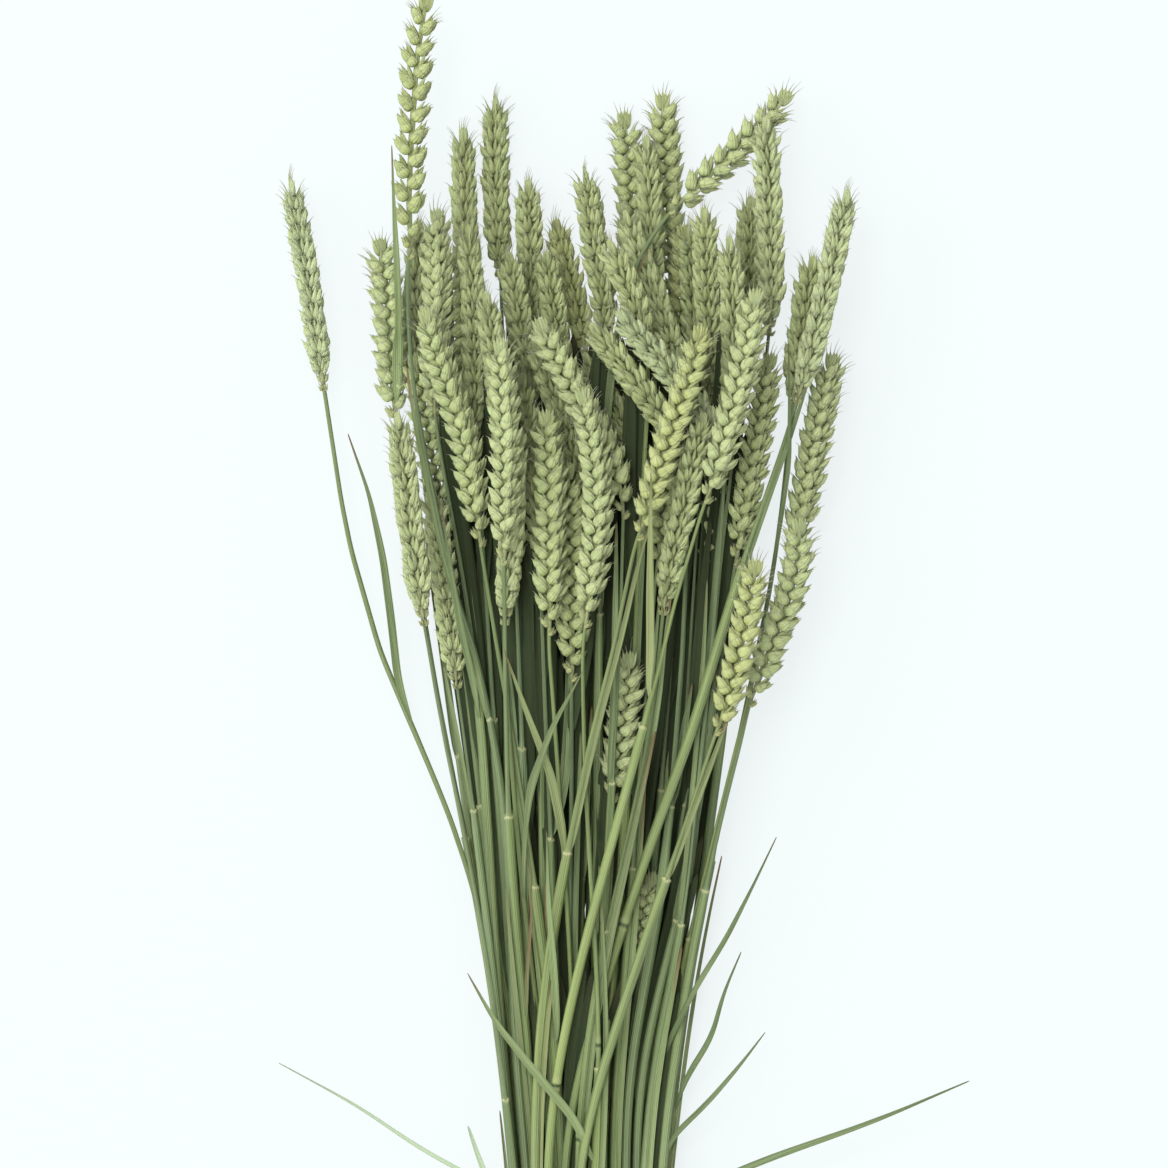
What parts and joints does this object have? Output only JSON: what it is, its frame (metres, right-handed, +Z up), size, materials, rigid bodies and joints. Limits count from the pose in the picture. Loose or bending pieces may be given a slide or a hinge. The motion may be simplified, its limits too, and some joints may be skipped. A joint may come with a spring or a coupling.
{
  "type": "bundle of dried wheat",
  "caption": "Bundle of cut and dried wheat: long stalks with full green ears and a few narrow leaf blades, held by a cord tie and lying on a surface.",
  "frame": {"origin": "middle of the footprint, on the surface that the bundle lies on", "axes": "+Y along the bundle from the cut ends to the ears, +Z up, +X across it to the right when seen from above with the ears away"},
  "size_m": [0.28, 0.6828, 0.0759],
  "materials": {
    "wheat_green": "matt dried straw, grey-green",
    "wheat_pale": "matt dried straw, paler green, bleached by drying",
    "wheat_dark": "matt dried straw, deep green, inside the bundle",
    "wheat_yellow": "matt dried straw, green turning yellow",
    "cord": "matt natural fibre cord"
  },
  "bodies": {
    "root": {"stalk_01": "wheat_pale", "stalk_02": "wheat_green", "stalk_03": "wheat_dark", "stalk_04": "wheat_green", "stalk_05": "wheat_green", "stalk_06": "wheat_yellow", "stalk_07": "wheat_pale", "stalk_08": "wheat_green", "stalk_09": "wheat_green", "stalk_10": "wheat_green", "stalk_11": "wheat_pale", "stalk_12": "wheat_pale", "stalk_13": "wheat_green", "stalk_14": "wheat_pale", "stalk_15": "wheat_pale", "stalk_16": "wheat_green", "stalk_17": "wheat_green", "stalk_18": "wheat_pale", "stalk_19": "wheat_pale", "stalk_20": "wheat_pale", "stalk_21": "wheat_pale", "stalk_22": "wheat_green", "stalk_23": "wheat_pale", "stalk_24": "wheat_green", "stalk_25": "wheat_green", "stalk_26": "wheat_yellow", "stalk_27": "wheat_green", "stalk_28": "wheat_pale", "stalk_29": "wheat_green", "stalk_30": "wheat_pale", "stalk_31": "wheat_green", "stalk_32": "wheat_dark", "stalk_33": "wheat_yellow", "stalk_34": "wheat_green", "stalk_35": "wheat_dark", "stalk_36": "wheat_green", "stalk_37": "wheat_pale", "stalk_38": "wheat_pale", "stalk_39": "wheat_green", "stalk_40": "wheat_pale", "stalk_41": "wheat_pale", "stalk_42": "wheat_green", "stalk_43": "wheat_pale", "stalk_44": "wheat_pale", "stalk_45": "wheat_yellow", "stalk_46": "wheat_pale", "stalk_47": "wheat_pale", "stalk_48": "wheat_dark", "stalk_49": "wheat_green", "stalk_50": "wheat_green", "stalk_51": "wheat_dark", "stalk_52": "wheat_dark", "stalk_53": "wheat_dark", "stalk_54": "wheat_dark", "stalk_55": "wheat_green", "stalk_56": "wheat_green", "stalk_57": "wheat_green", "stalk_58": "wheat_pale", "tie_cord": "cord"}
  },
  "joints": []
}
